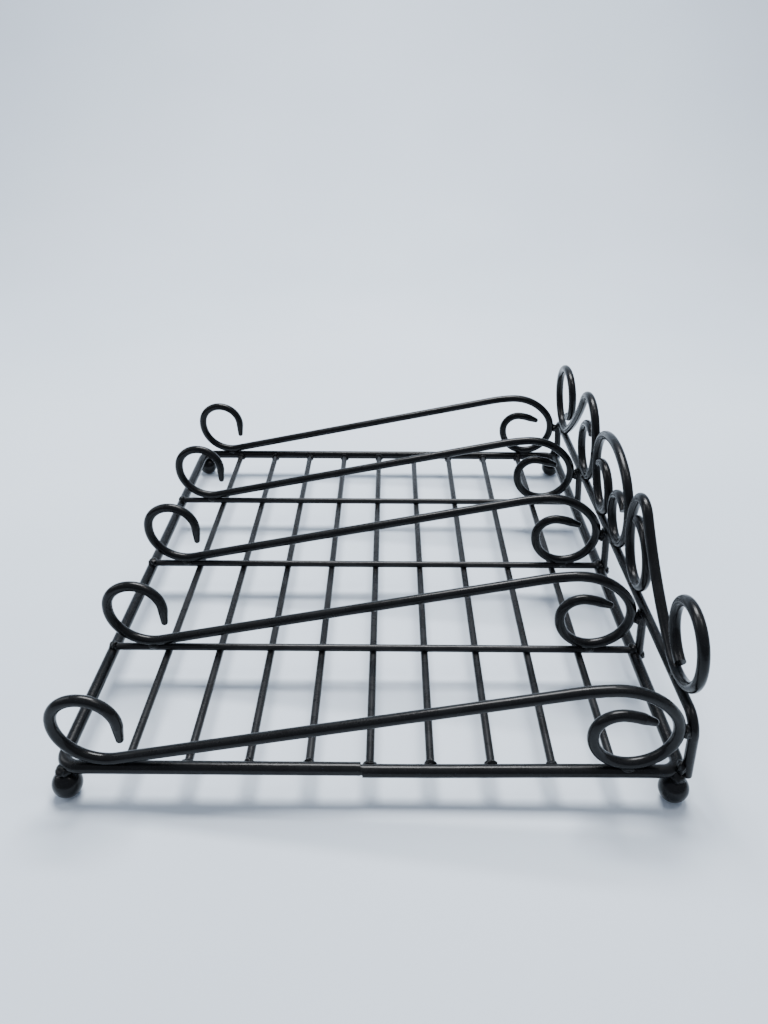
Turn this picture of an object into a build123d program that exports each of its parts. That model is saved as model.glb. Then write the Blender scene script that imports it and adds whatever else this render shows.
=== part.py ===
from build123d import *
import math
import os

# A welded wire file rack. It stands on four ball feet: a wire grid in a rod frame carries five
# scrolled dividers, and a crest of three larger scrolls stands along the right side.
# +X runs along the dividers towards the crest, +Y from the front to the back, +Z up. The origin is
# on the surface that the feet stand on, in the middle of the frame.

os.makedirs("parts", exist_ok=True)

# ---- wire and rod diameters, paint included ----
frame_rod = 6.0
grid_wire = 3.9
scroll_wire = 5.2
crest_rod = 4.8
post_rod = 4.4
foot_ball = 13.4

# ---- base frame, grid and feet ----
slot_pitch = 76.2
slot_count = 4
frame_width = 275.0
frame_depth = slot_pitch * slot_count
corner_radius = 8.0
butt_gap = 0.8
butt_step = 1.2
butt_offset = 3.6
grid_pitch = 27.1
grid_count = 9
grid_drop = 0.9
cross_end_gap = 1.2
weld_sink = 0.2
foot_inset_x = 1.5
foot_inset_y = -0.4
foot_gap = 0.3

# ---- dividers, each one bent wire: (bend radius, turn in degrees) ----
divider_start = (-107.3, 20.2)
divider_heading = 88.0
divider_scroll_bends = [(14.5, 99.7), (13.5, 72), (20.5, 112)]
divider_run = 200.0
divider_curl_bends = [(100, -9), (32, -57), (19, -53), (18.5, -73), (17.5, -93), (11, -92), (30, -15)]
divider_tips = [7.8, 5.2]
divider_tip_diameter = 3.6
divider_seats = [-115.0, 113.1]

# ---- crest: rail, posts and scrolls stand in one plane that leans in over the grid ----
crest_lean = 5.1
crest_overhang = 2.6
crest_height = 30.6
crest_bend = 9.0
crest_foot_drop = 2.0
# each scroll: (start), heading, (bend radius, turn in degrees), with heights above the rail's top
front_scroll_start = (-128.64, 6.75)
front_scroll_heading = 15.63
front_scroll_bends = [
    (17.2, 159.3),
    (16.73, 79.4),
    (22.34, 134),
    (157.77, 23.8),
    (10.51, -99.5),
    (32.41, -73.2),
    (14.15, -114.3),
    (17.88, -136.3),
]
centre_scroll_start = (-30.59, 25.23)
centre_scroll_heading = 38.7
centre_scroll_bends = [
    (14.4, -180.98),
    (12.33, -72.42),
    (25.9, -117.14),
    (46.97, -56.32),
    (25.9, -117.14),
    (12.33, -72.42),
    (14.4, -180.98),
]
back_scroll_start = (121.32, 12.92)
back_scroll_heading = 175.29
back_scroll_bends = [
    (16.07, -159.2),
    (26, -88.4),
    (20.98, -140.9),
    (182.46, -19.7),
    (18.67, 116.4),
    (33.15, 73.5),
    (14.74, 105.7),
    (18.81, 142.1),
]
scroll_seats = [-127.2, -59.0, -20.0, 14.7, 58.5, 128.3]
scroll_contacts = [(-40.7, 23.8), (35.6, 25.8)]

# ---- weld beads ----
grid_bead = 5.4
cross_bead = 5.8
seat_bead = 5.4
link_bead = 5.6
crest_bead = 5.6
foot_bead = 6.8

# ---- positions that follow ----
left_x = -frame_width / 2
right_x = frame_width / 2
front_y = -frame_depth / 2
back_y = frame_depth / 2
frame_z = foot_ball + foot_gap + frame_rod / 2
frame_top = frame_z + frame_rod / 2
grid_z = frame_z - grid_drop
cross_z = grid_z + grid_wire - weld_sink
cross_top = cross_z + grid_wire / 2
divider_ys = [front_y + slot_pitch * number for number in range(slot_count + 1)]
seat_zs = [frame_top, cross_top, cross_top, cross_top, frame_top]
post_ys = divider_ys[1:-1]
scroll_base = crest_height + crest_rod / 2 + scroll_wire / 2 - weld_sink
lean_sine = math.sin(math.radians(crest_lean))
lean_cosine = math.cos(math.radians(crest_lean))
crest_plane = Plane(
    origin=(right_x + crest_overhang, 0, frame_z),
    x_dir=(0, 1, 0),
    z_dir=(lean_cosine, 0, lean_sine),
)


def save(piece, name):
    """Labels a finished piece and writes it as one STEP file."""
    piece.part.label = name
    export_step(piece.part, f"parts/{name}.step")


def bent_line(plane, start, heading, scroll_bends, run=0, curl_bends=()):
    """The centre line of a bent wire in a plane: arcs, an optional straight run, and more arcs."""
    point = start
    direction = (math.cos(math.radians(heading)), math.sin(math.radians(heading)))
    with BuildLine(plane) as line:
        for radius, turn in scroll_bends:
            stretch = JernArc(start=point, tangent=direction, radius=radius, arc_size=turn)
            point = stretch @ 1
            direction = stretch % 1
        if run:
            stretch = Line(point, point + direction * run)
            point = stretch @ 1
        for radius, turn in curl_bends:
            stretch = JernArc(start=point, tangent=direction, radius=radius, arc_size=turn)
            point = stretch @ 1
            direction = stretch % 1
    return line.wires()[0]


def bead(point, diameter, turn, neighbours):
    """A round weld bead at a point, cut back from the pieces that it joins."""
    with BuildPart() as weld:
        with Locations(point):
            Sphere(diameter / 2, rotation=turn)
        for neighbour in neighbours:
            add(neighbour, mode=Mode.SUBTRACT)
    return weld.part


def crest_point(along, height):
    """A point in the middle plane of the crest, at a height above the base frame."""
    return crest_plane.from_local_coords((along, height, 0))


# ---- base frame: one rod bent round, its ends butted a little out of line in the front side ----
with BuildLine() as frame_path:
    stretch = Line((-butt_offset - butt_gap / 2, front_y, frame_z), (left_x + corner_radius, front_y, frame_z))
    frame_start = stretch @ 0
    for side in (frame_depth, frame_width, frame_depth):
        corner = JernArc(start=stretch @ 1, tangent=stretch % 1, radius=corner_radius, arc_size=-90)
        stretch = Line(corner @ 1, (corner @ 1) + (corner % 1) * (side - 2 * corner_radius))
    corner = JernArc(start=stretch @ 1, tangent=stretch % 1, radius=corner_radius, arc_size=-90)
    stretch = Line(corner @ 1, (corner @ 1) + (corner % 1) * corner_radius)
    butt_end = Vector(-butt_offset + butt_gap / 2, front_y, frame_z - butt_step)
    sag = TangentArc(stretch @ 1, ((stretch @ 1) + butt_end) / 2, tangent=stretch % 1)
    TangentArc(sag @ 1, butt_end, tangent=sag % 1)

with BuildPart() as base_frame:
    with BuildSketch(Plane(origin=frame_start, z_dir=(-1, 0, 0))):
        Circle(frame_rod / 2)
    sweep(path=frame_path.wires()[0])
save(base_frame, "base_frame")

# ---- grid wires: straight, butted on the front and back sides of the frame ----
grid_wires = []
for number in range(grid_count):
    wire_x = grid_pitch * (number - (grid_count - 1) / 2)
    with BuildPart() as wire:
        with BuildSketch(Plane(origin=(wire_x, front_y, grid_z), z_dir=(0, 1, 0))):
            Circle(grid_wire / 2)
        extrude(amount=frame_depth)
        add(base_frame.part, mode=Mode.SUBTRACT)
    grid_wires.append(wire.part)
    save(wire, f"grid_wire_{number + 1}")

# ---- cross wires: straight, across the grid wires and onto the left and right sides ----
cross_wires = []
for number, wire_y in enumerate(post_ys):
    with BuildPart() as wire:
        with BuildSketch(Plane(origin=(left_x + cross_end_gap, wire_y, cross_z), z_dir=(1, 0, 0))):
            Circle(grid_wire / 2)
        extrude(amount=frame_width - 2 * cross_end_gap)
        add(base_frame.part, mode=Mode.SUBTRACT)
        add(grid_wires, mode=Mode.SUBTRACT)
    cross_wires.append(wire.part)
    save(wire, f"cross_wire_{number + 1}")

# ---- dividers: a small scroll on the left, a long run and a large curl on the right ----
dividers = []
for number, (divider_y, seat_z) in enumerate(zip(divider_ys, seat_zs)):
    divider_plane = Plane(
        origin=(0, divider_y, seat_z + scroll_wire / 2 - weld_sink), x_dir=(1, 0, 0), z_dir=(0, -1, 0)
    )
    path = bent_line(
        divider_plane, divider_start, divider_heading, divider_scroll_bends, divider_run, divider_curl_bends
    )
    ends = [(path @ 0, path % 0 * -1), (path @ 1, path % 1)]
    with BuildPart() as divider:
        with BuildSketch(Plane(origin=path @ 0, z_dir=path % 0)):
            Circle(scroll_wire / 2)
        sweep(path=path)
        for (end, outwards), taper in zip(ends, divider_tips):
            with Locations(Plane(origin=end, z_dir=outwards)):
                Cone(
                    scroll_wire / 2,
                    divider_tip_diameter / 2,
                    taper,
                    align=(Align.CENTER, Align.CENTER, Align.MIN),
                )
            with Locations(end + outwards * taper):
                Sphere(divider_tip_diameter / 2)
        add([base_frame.part, *cross_wires], mode=Mode.SUBTRACT)
    dividers.append(divider.part)
    save(divider, f"divider_{number + 1}")

# ---- crest rail: one rod bent down at both ends, its feet on the outside of the frame corners ----
with BuildLine(crest_plane) as rail_path:
    FilletPolyline(
        (front_y, -crest_foot_drop),
        (front_y, crest_height),
        (back_y, crest_height),
        (back_y, -crest_foot_drop),
        radius=crest_bend,
    )
with BuildPart() as crest_rail:
    with BuildSketch(Plane(origin=rail_path.wires()[0] @ 0, z_dir=rail_path.wires()[0] % 0)):
        Circle(crest_rod / 2)
    sweep(path=rail_path.wires()[0])
    add(base_frame.part, mode=Mode.SUBTRACT)
save(crest_rail, "crest_rail")

# ---- crest posts: short rods from the right side of the frame up to the crest rail ----
crest_posts = []
for number, post_y in enumerate(post_ys):
    with BuildPart() as post:
        with BuildSketch(Plane(origin=crest_point(post_y, 0), z_dir=crest_plane.y_dir)):
            Circle(post_rod / 2)
        extrude(amount=crest_height)
        add([base_frame.part, crest_rail.part], mode=Mode.SUBTRACT)
    crest_posts.append(post.part)
    save(post, f"crest_post_{number + 1}")

# ---- crest scrolls: an S at the front, a C in the middle and an S that faces it at the back ----
crest_scrolls = []
for name, start, heading, bends in (
    ("front", front_scroll_start, front_scroll_heading, front_scroll_bends),
    ("back", back_scroll_start, back_scroll_heading, back_scroll_bends),
    ("centre", centre_scroll_start, centre_scroll_heading, centre_scroll_bends),
):
    path = bent_line(crest_plane, (start[0], scroll_base + start[1]), heading, bends)
    with BuildPart() as scroll:
        with BuildSketch(Plane(origin=path @ 0, z_dir=path % 0)):
            Circle(scroll_wire / 2)
        sweep(path=path)
        add([crest_rail.part, *crest_scrolls], mode=Mode.SUBTRACT)
    crest_scrolls.append(scroll.part)
    save(scroll, f"crest_scroll_{name}")

# ---- ball feet under the four corners of the frame ----
ball_feet = []
foot_points = []
for depth_name, depth_side in (("front", -1), ("back", 1)):
    for width_name, width_side in (("left", -1), ("right", 1)):
        foot_x = (frame_width / 2 - foot_inset_x) * width_side
        foot_y = (frame_depth / 2 - foot_inset_y) * depth_side
        with BuildPart() as foot:
            with Locations((foot_x, foot_y, foot_ball / 2)):
                Sphere(foot_ball / 2)
        ball_feet.append(foot.part)
        foot_points.append((foot_x, foot_y, foot_ball + foot_gap / 2))
        save(foot, f"ball_foot_{depth_name}_{width_name}")

# ---- weld in the butt joint of the frame ----
with BuildPart() as frame_weld:
    with Locations((-butt_offset, front_y, frame_z - butt_step / 2)):
        Cylinder((frame_rod - butt_step) / 2, butt_gap, rotation=(0, 90, 0))
save(frame_weld, "frame_weld")

# ---- welds at the ends of the grid wires and cross wires ----
end_beads = []
for number, wire in enumerate(grid_wires):
    wire_x = grid_pitch * (number - (grid_count - 1) / 2)
    for end_y in (front_y + frame_rod / 2, back_y - frame_rod / 2):
        end_beads.append(bead((wire_x, end_y, grid_z), grid_bead, (90, 0, 0), [wire, base_frame.part]))
for wire_y, wire, post in zip(post_ys, cross_wires, crest_posts):
    for end_x in (left_x + cross_end_gap, right_x - cross_end_gap):
        end_beads.append(bead((end_x, wire_y, cross_z), cross_bead, (0, 90, 0), [wire, base_frame.part, post]))
with BuildPart() as grid_welds:
    add(end_beads)
save(grid_welds, "grid_welds")

# ---- welds under the dividers, and from each divider to the crest rail ----
supports = [base_frame.part, *cross_wires, base_frame.part]
divider_beads = []
for divider_y, seat_z, divider, support in zip(divider_ys, seat_zs, dividers, supports):
    for seat_x in divider_seats:
        divider_beads.append(bead((seat_x, divider_y, seat_z), seat_bead, (90, 0, 0), [divider, support]))
    rail_y = max(front_y + crest_rod / 8, min(back_y - crest_rod / 8, divider_y))
    link_point = (right_x - crest_overhang, rail_y, frame_z + crest_height * 0.8)
    divider_beads.append(bead(link_point, link_bead, (0, 90, 0), [divider, crest_rail.part, *crest_posts]))
with BuildPart() as divider_welds:
    add(divider_beads)
save(divider_welds, "divider_welds")

# ---- welds of the crest: its scrolls, posts and feet ----
front_scroll, back_scroll, centre_scroll = crest_scrolls
seat_scrolls = [front_scroll, front_scroll, centre_scroll, centre_scroll, back_scroll, back_scroll]
crest_beads = []
for seat, scroll_part in zip(scroll_seats, seat_scrolls):
    seat_point = crest_point(seat, crest_height + crest_rod / 2)
    crest_beads.append(bead(seat_point, crest_bead, (90, 0, 0), [crest_rail.part, scroll_part]))
for (along, height), scroll_part in zip(scroll_contacts, (front_scroll, back_scroll)):
    contact_point = crest_point(along, scroll_base + height)
    crest_beads.append(bead(contact_point, crest_bead, (0, 0, 0), [centre_scroll, scroll_part]))
for post_y, post, wire in zip(post_ys, crest_posts, cross_wires):
    top_point = crest_point(post_y, crest_height - crest_rod / 2)
    crest_beads.append(bead(top_point, crest_bead, (0, 0, 0), [post, crest_rail.part, divider_welds.part]))
    foot_point = (right_x + frame_rod / 2, post_y, frame_z)
    foot_neighbours = [post, base_frame.part, wire, grid_welds.part]
    crest_beads.append(bead(foot_point, crest_bead, (0, 0, 0), foot_neighbours))
for rail_y in (front_y, back_y):
    rail_point = (right_x, rail_y, frame_z + frame_rod / 2)
    crest_beads.append(bead(rail_point, crest_bead, (0, 90, 0), [base_frame.part, crest_rail.part, *dividers]))
with BuildPart() as crest_welds:
    add(crest_beads)
save(crest_welds, "crest_welds")

# ---- welds between the frame corners and the ball feet ----
foot_neighbours = [base_frame.part, crest_rail.part, crest_welds.part]
with BuildPart() as foot_welds:
    for foot_point, ball in zip(foot_points, ball_feet):
        add(bead(foot_point, foot_bead, (0, 0, 0), [*foot_neighbours, ball]))
save(foot_welds, "foot_welds")
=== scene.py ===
import math
import random

import bmesh
import bpy
from mathutils import Matrix, Vector, noise


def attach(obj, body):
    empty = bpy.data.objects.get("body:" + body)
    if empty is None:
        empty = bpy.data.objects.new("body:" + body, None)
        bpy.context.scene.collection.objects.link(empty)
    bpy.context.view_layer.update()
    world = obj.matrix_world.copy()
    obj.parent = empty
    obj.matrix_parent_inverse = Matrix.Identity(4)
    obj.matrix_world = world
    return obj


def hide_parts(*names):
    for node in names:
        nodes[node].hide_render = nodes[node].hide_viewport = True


# A black wire file rack on a pale desk: the CAD wires in glossy paint, and lumpy weld beads in
# place of the CAD's plain ones. Metres, with the frame's own axes.

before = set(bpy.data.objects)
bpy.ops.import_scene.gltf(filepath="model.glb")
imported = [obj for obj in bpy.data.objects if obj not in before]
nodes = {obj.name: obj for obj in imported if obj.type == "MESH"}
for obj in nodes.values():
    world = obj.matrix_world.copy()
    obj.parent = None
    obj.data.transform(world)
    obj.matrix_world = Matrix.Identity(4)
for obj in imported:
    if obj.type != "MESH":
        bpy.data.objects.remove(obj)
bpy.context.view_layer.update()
random.seed(7)

MM = 0.001

# ---------------------------------------------------------------- materials
DUST_COLOUR = (0.33, 0.34, 0.36, 1)
DUST_MOST = 0.03
DUST_DULLING = 0.10
WORN_COLOUR = (0.10, 0.10, 0.105, 1)
WORN_MOST = 0.25
ROUGHNESS_SPREAD = 0.13
PEEL_DEPTH = 0.35 * MM
PIMPLE_HEIGHT = 0.25 * MM


def node_maker(tree):
    """A short way to add a node, with its inputs set by name or number."""

    def make(kind, settings=None, **attributes):
        node = tree.nodes.new(kind)
        for key, value in attributes.items():
            setattr(node, key, value)
        for key, value in (settings or {}).items():
            if isinstance(value, bpy.types.NodeSocket):
                tree.links.new(value, node.inputs[key])
            else:
                node.inputs[key].default_value = value
        return node

    return make


def ramp(node, stops):
    """Sets a colour ramp's stops: (place, colour)."""
    elements = node.color_ramp.elements
    while len(elements) > 2:
        elements.remove(elements[-1])
    for element, (place, colour) in zip(elements, stops):
        element.position = place
        element.color = colour
    for place, colour in stops[2:]:
        elements.new(place).color = colour


def black_paint(name, lumps, gloss):
    """Black paint on steel: orange peel, small pimples, a little dust on top, wear on raised edges.

    lumps deepens the orange peel, and gloss is the least roughness.
    """
    material = bpy.data.materials.new(name)
    material.use_nodes = True
    tree = material.node_tree
    tree.nodes.clear()
    make = node_maker(tree)
    out = make("ShaderNodeOutputMaterial")
    place = make("ShaderNodeTexCoord").outputs["Object"]
    geometry = make("ShaderNodeNewGeometry")

    broad = make("ShaderNodeTexNoise", {"Vector": place, "Scale": 60.0, "Detail": 3.0, "Roughness": 0.55})
    fine = make("ShaderNodeTexNoise", {"Vector": place, "Scale": 900.0, "Detail": 4.0, "Roughness": 0.6})
    peel = make("ShaderNodeTexNoise", {"Vector": place, "Scale": 420.0, "Detail": 1.5, "Roughness": 0.5})
    specks = make("ShaderNodeTexVoronoi", {"Vector": place, "Scale": 170.0, "Randomness": 1.0})

    base = make("ShaderNodeValToRGB", {"Fac": broad.outputs["Fac"]})
    ramp(base, [(0.3, (0.0008, 0.0009, 0.0011, 1)), (0.72, (0.0030, 0.0034, 0.0039, 1))])
    # pale dust that lies on whatever faces up
    facing = make("ShaderNodeSeparateXYZ", {"Vector": geometry.outputs["Normal"]})
    upward = make(
        "ShaderNodeMapRange", {"Value": facing.outputs["Z"], "From Min": 0.35, "From Max": 1.0}
    )
    dusty = make(
        "ShaderNodeMath",
        {0: upward.outputs["Result"], 1: fine.outputs["Fac"]},
        operation="MULTIPLY",
    )
    dust_amount = make("ShaderNodeMath", {0: dusty.outputs[0], 1: DUST_MOST}, operation="MULTIPLY")
    dusted = make("ShaderNodeMix", {"Factor": dust_amount.outputs[0]}, data_type="RGBA")
    tree.links.new(base.outputs["Color"], dusted.inputs["A"])
    dusted.inputs["B"].default_value = DUST_COLOUR
    # paint rubbed thin on raised edges
    edge = make(
        "ShaderNodeMapRange",
        {"Value": geometry.outputs["Pointiness"], "From Min": 0.56, "From Max": 0.66},
    )
    rubbed = make(
        "ShaderNodeMath",
        {0: edge.outputs["Result"], 1: broad.outputs["Fac"]},
        operation="MULTIPLY",
    )
    rub_amount = make("ShaderNodeMath", {0: rubbed.outputs[0], 1: WORN_MOST}, operation="MULTIPLY")
    worn = make("ShaderNodeMix", {"Factor": rub_amount.outputs[0]}, data_type="RGBA")
    tree.links.new(dusted.outputs["Result"], worn.inputs["A"])
    worn.inputs["B"].default_value = WORN_COLOUR

    rough = make(
        "ShaderNodeMapRange",
        {
            "Value": broad.outputs["Fac"],
            "From Min": 0.25,
            "From Max": 0.75,
            "To Min": gloss,
            "To Max": gloss + ROUGHNESS_SPREAD,
        },
    )
    dull = make(
        "ShaderNodeMath",
        {0: dusty.outputs[0], 1: DUST_DULLING, 2: rough.outputs["Result"]},
        operation="MULTIPLY_ADD",
    )

    # orange peel everywhere, and small pimples in some places
    pimple_shape = make(
        "ShaderNodeMapRange",
        {"Value": specks.outputs["Distance"], "From Min": 0.0, "From Max": 0.2, "To Min": 1.0, "To Max": 0.0},
    )
    sparse = make("ShaderNodeMath", {0: broad.outputs["Fac"], 1: 0.58}, operation="GREATER_THAN")
    pimples = make(
        "ShaderNodeMath",
        {0: pimple_shape.outputs["Result"], 1: sparse.outputs[0]},
        operation="MULTIPLY",
    )
    peel_bump = make(
        "ShaderNodeBump",
        {"Height": peel.outputs["Fac"], "Strength": 0.22, "Distance": PEEL_DEPTH * lumps},
    )
    bump = make(
        "ShaderNodeBump",
        {
            "Height": pimples.outputs[0],
            "Strength": 0.5,
            "Distance": PIMPLE_HEIGHT,
            "Normal": peel_bump.outputs["Normal"],
        },
    )

    shader = make(
        "ShaderNodeBsdfPrincipled",
        {
            "Base Color": worn.outputs["Result"],
            "Roughness": dull.outputs[0],
            "Normal": bump.outputs["Normal"],
            "IOR": 1.5,
            "Specular IOR Level": 0.17,
            "Coat Weight": 0.06,
            "Coat Roughness": 0.08,
        },
    )
    tree.links.new(shader.outputs["BSDF"], out.inputs["Surface"])
    return material


PAINT = black_paint("black_paint", 1.0, 0.17)
WELD_PAINT = black_paint("weld_paint", 2.0, 0.2)


def give(obj, material):
    """Puts one material in the first slot of an object and leaves no other."""
    obj.data.materials.clear()
    obj.data.materials.append(material)


for name, obj in nodes.items():
    give(obj, WELD_PAINT if "weld" in name else PAINT)
    for polygon in obj.data.polygons:
        polygon.use_smooth = True

# ---------------------------------------------------------------- weld beads
BEAD_SWELL = (0.98, 1.12)
BROAD_LUMP = 0.30
FINE_LUMP = 0.10
DROOP = 0.10


def islands(mesh):
    """The centre and half size of each separate shell in a mesh."""
    parent = list(range(len(mesh.vertices)))

    def root(item):
        while parent[item] != item:
            parent[item] = parent[parent[item]]
            item = parent[item]
        return item

    same_place = {}
    for vertex in mesh.vertices:
        key = tuple(round(value * 1e6) for value in vertex.co)
        parent[root(vertex.index)] = root(same_place.setdefault(key, vertex.index))
    for edge in mesh.edges:
        parent[root(edge.vertices[0])] = root(edge.vertices[1])
    groups = {}
    for vertex in mesh.vertices:
        groups.setdefault(root(vertex.index), []).append(vertex.co)
    shells = []
    for points in groups.values():
        low = Vector([min(point[axis] for point in points) for axis in range(3)])
        high = Vector([max(point[axis] for point in points) for axis in range(3)])
        shells.append(((low + high) / 2, (high - low) / 2))
    return sorted(shells, key=lambda shell: tuple(shell[0]))


def lumpy_beads(name):
    """Uneven weld beads over the plain ones of a CAD node: each a lumped, slightly run puddle."""
    beads = bmesh.new()
    for centre, half in islands(nodes[name].data):
        seed = Vector([random.uniform(-40, 40) for _ in range(3)])
        swell = random.uniform(*BEAD_SWELL)
        start = len(beads.verts)
        bmesh.ops.create_icosphere(beads, subdivisions=4, radius=1.0)
        beads.verts.ensure_lookup_table()
        for vertex in beads.verts[start:]:
            unit = vertex.co.normalized()
            lump = noise.noise(unit * 1.5 + seed) * BROAD_LUMP + noise.noise(unit * 4.2 + seed) * FINE_LUMP
            droop = DROOP * max(0.0, -unit.z)
            grown = unit * swell * (1.0 + lump + droop)
            vertex.co = centre + Vector([grown[axis] * half[axis] for axis in range(3)])
    mesh = bpy.data.meshes.new(f"{name}_lumps")
    beads.to_mesh(mesh)
    beads.free()
    for polygon in mesh.polygons:
        polygon.use_smooth = True
    obj = bpy.data.objects.new(f"{name}_lumps", mesh)
    bpy.context.scene.collection.objects.link(obj)
    give(obj, WELD_PAINT)
    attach(obj, "root")
    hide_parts(name)


for name in ("grid_welds", "divider_welds", "crest_welds", "foot_welds"):
    lumpy_beads(name)

# ---------------------------------------------------------------- floor
FLOOR_HALF = 3.0
FLOOR_COLUMNS = 8
BEND_START = 0.62
BEND_RADIUS = 0.75
BEND_STEPS = 40
WALL_TOP = 2.6


def floor_paint():
    """Pale, faintly blue desk surface with a very soft grain."""
    material = bpy.data.materials.new("desk")
    material.use_nodes = True
    tree = material.node_tree
    tree.nodes.clear()
    make = node_maker(tree)
    out = make("ShaderNodeOutputMaterial")
    place = make("ShaderNodeTexCoord").outputs["Object"]
    cloud = make("ShaderNodeTexNoise", {"Vector": place, "Scale": 3.0, "Detail": 2.0})
    tone = make("ShaderNodeValToRGB", {"Fac": cloud.outputs["Fac"]})
    ramp(tone, [(0.3, (0.655, 0.74, 0.83, 1)), (0.7, (0.71, 0.795, 0.885, 1))])
    shader = make(
        "ShaderNodeBsdfPrincipled",
        {"Base Color": tone.outputs["Color"], "Roughness": 0.62, "Specular IOR Level": 0.25},
    )
    tree.links.new(shader.outputs["BSDF"], out.inputs["Surface"])
    return material


def sweep_sheet():
    """A desk that turns up into a wall behind, as one smooth sheet."""
    profile = [(-2.0, 0.0), (-0.9, 0.0), (0.0, 0.0), (BEND_START, 0.0)]
    for step in range(1, BEND_STEPS + 1):
        angle = math.pi / 2 * step / BEND_STEPS
        profile.append((BEND_START + BEND_RADIUS * math.sin(angle), BEND_RADIUS * (1 - math.cos(angle))))
    profile.append((BEND_START + BEND_RADIUS, WALL_TOP))
    sheet = bmesh.new()
    columns = [-FLOOR_HALF + FLOOR_HALF * 2 * step / FLOOR_COLUMNS for step in range(FLOOR_COLUMNS + 1)]
    rows = [[sheet.verts.new((x, y, z)) for x in columns] for y, z in profile]
    for lower, upper in zip(rows, rows[1:]):
        for column in range(FLOOR_COLUMNS):
            sheet.faces.new((lower[column], lower[column + 1], upper[column + 1], upper[column]))
    mesh = bpy.data.meshes.new("floor")
    sheet.to_mesh(mesh)
    sheet.free()
    for polygon in mesh.polygons:
        polygon.use_smooth = True
    return mesh


floor = bpy.data.objects.new("floor", sweep_sheet())
bpy.context.scene.collection.objects.link(floor)
give(floor, floor_paint())

# ---------------------------------------------------------------- light
world = bpy.data.worlds.new("studio")
bpy.context.scene.world = world
world.use_nodes = True
world.node_tree.nodes["Background"].inputs["Color"].default_value = (0.80, 0.86, 1.0, 1)
world.node_tree.nodes["Background"].inputs["Strength"].default_value = 0.5


def area_light(name, place, target, size, power, colour):
    """A soft rectangular light that looks at a point."""
    data = bpy.data.lights.new(name, "AREA")
    data.shape = "RECTANGLE"
    data.size, data.size_y = size
    data.energy = power
    data.color = colour
    light = bpy.data.objects.new(name, data)
    light.location = place
    light.rotation_euler = (Vector(target) - Vector(place)).to_track_quat("-Z", "Y").to_euler()
    bpy.context.scene.collection.objects.link(light)


area_light("ceiling", (0.02, 0.42, 1.25), (0, 0.16, 0), (0.7, 0.45), 34.0, (0.97, 0.98, 1.0))
area_light("window", (-1.3, 0.2, 0.9), (0, 0, 0.05), (0.5, 0.9), 5.0, (0.93, 0.96, 1.0))
area_light("lamp", (0.45, -0.15, 1.1), (0, 0, 0.05), (0.22, 0.22), 2.2, (1.0, 0.99, 0.97))

# ---------------------------------------------------------------- camera
# the photo's point of view, found by fitting a camera to the grid: it looks down by PITCH
CAMERA_PLACE = Vector((7.755, -377.362, 286.958)) * MM
YAW, PITCH, ROLL = math.radians(-0.407), math.radians(31.357), math.radians(-0.106)
SENSOR_WIDTH = 36.0
FOCAL_LENGTH = 26.442
camera_data = bpy.data.cameras.new("camera")
camera_data.sensor_width = SENSOR_WIDTH
camera_data.lens = FOCAL_LENGTH
camera_data.clip_start = 0.01
camera = bpy.data.objects.new("camera", camera_data)
look = Vector((math.sin(YAW) * math.cos(PITCH), math.cos(YAW) * math.cos(PITCH), -math.sin(PITCH)))
camera.rotation_euler = (
    look.to_track_quat("-Z", "Y").to_matrix() @ Matrix.Rotation(-ROLL, 3, "Z")
).to_euler()
camera.location = CAMERA_PLACE
bpy.context.scene.collection.objects.link(camera)
bpy.context.scene.camera = camera
